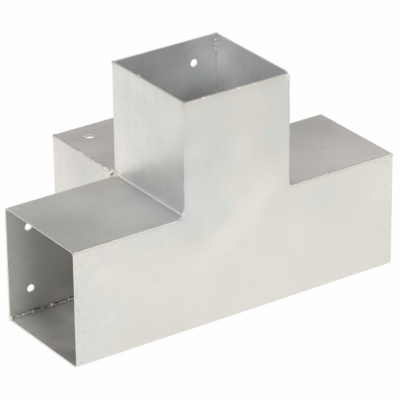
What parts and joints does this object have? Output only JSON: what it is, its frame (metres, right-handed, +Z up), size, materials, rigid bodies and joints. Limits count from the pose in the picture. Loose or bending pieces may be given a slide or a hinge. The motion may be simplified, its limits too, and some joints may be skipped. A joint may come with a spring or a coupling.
{
  "type": "four-way post connector",
  "caption": "Welded sheet-steel connector that holds square posts end to end, upright and to the rear in open sockets with screw holes.",
  "frame": {"origin": "on the underside, straight below the upright socket's axis", "axes": "+X along the bar towards the right arm, +Y towards the back arm, +Z up the upright socket"},
  "size_m": [0.286, 0.18, 0.185],
  "materials": {
    "galvanised_sheet": "dull galvanised zinc, faintly mottled",
    "weld_metal": "zinc-coated weld bead, uneven"
  },
  "bodies": {
    "root": {"front_sheet": "galvanised_sheet", "left_sheet": "galvanised_sheet", "right_sheet": "galvanised_sheet", "rear_sheet": "galvanised_sheet", "left_front_weld": "weld_metal", "right_front_weld": "weld_metal", "left_floor_weld": "weld_metal", "right_floor_weld": "weld_metal", "left_socket_weld": "weld_metal", "right_socket_weld": "weld_metal", "left_back_arm_weld": "weld_metal", "right_back_arm_weld": "weld_metal", "left_corner_plug": "weld_metal", "right_corner_plug": "weld_metal"}
  },
  "joints": []
}
